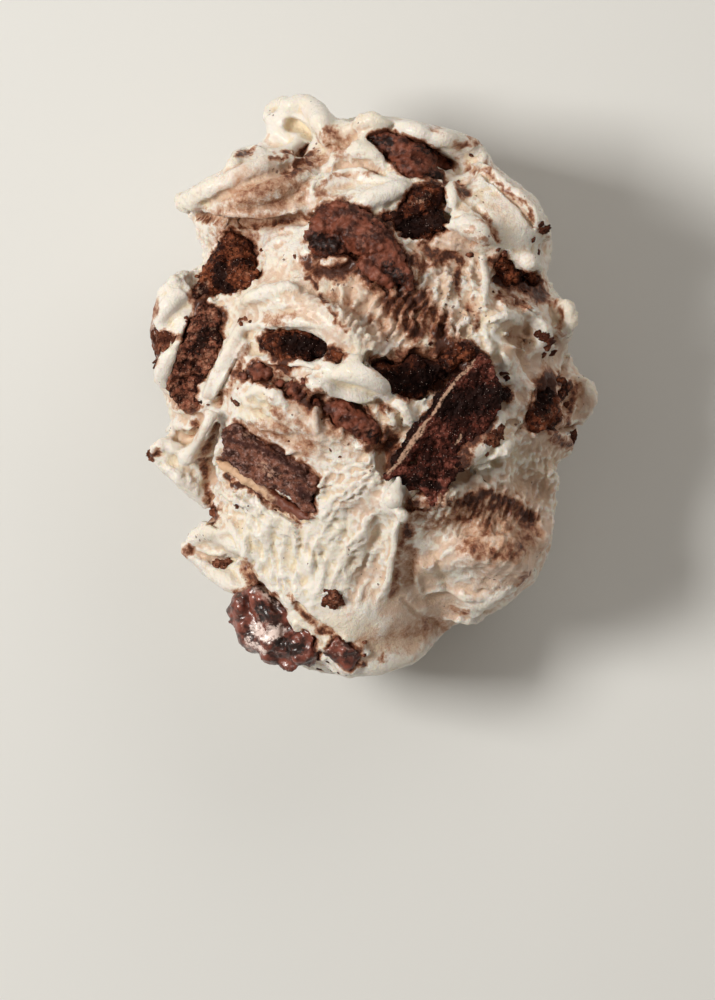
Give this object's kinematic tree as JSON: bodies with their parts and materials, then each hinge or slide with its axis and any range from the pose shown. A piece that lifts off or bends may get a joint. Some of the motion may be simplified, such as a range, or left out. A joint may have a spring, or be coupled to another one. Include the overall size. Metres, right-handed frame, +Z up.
{
  "type": "scoop of ice cream",
  "caption": "Heaped oval scoop of vanilla ice cream, scraped into folds and flaps, with broken chocolate wafers pressed into it.",
  "frame": {"origin": "middle of the footprint on the table, at the level of the flat the heap rests on", "axes": "+Z up out of the heap's best side, +Y along its length towards the end that was furthest from the spoon's handle"},
  "size_m": [0.0705, 0.0897, 0.0519],
  "materials": {
    "ice_cream": "frozen cream, slightly wet, with faint brown smears",
    "wafer": "dry crumbly chocolate biscuit",
    "wafer_soaked": "chocolate biscuit soaked and glossy with melted cream"
  },
  "bodies": {
    "root": {"ice_cream": "ice_cream", "wafer_crown": "wafer", "wafer_crumbly_right": "wafer", "wafer_folded": "wafer", "wafer_crumbly_left": "wafer", "wafer_left_slab": "wafer", "wafer_in_hollow": "wafer", "wafer_nuggets": "wafer", "wafer_smeared": "wafer", "wafer_deep": "wafer", "wafer_big_slab": "wafer", "wafer_low_slab": "wafer", "wafer_low_edge": "wafer", "wafer_right_pit": "wafer", "wafer_right_shoulder": "wafer", "wafer_low_corner": "wafer_soaked", "wafer_low_chip": "wafer_soaked", "wafer_side_top": "wafer", "wafer_side_right": "wafer", "wafer_side_bottom": "wafer", "wafer_side_left": "wafer"}
  },
  "joints": []
}
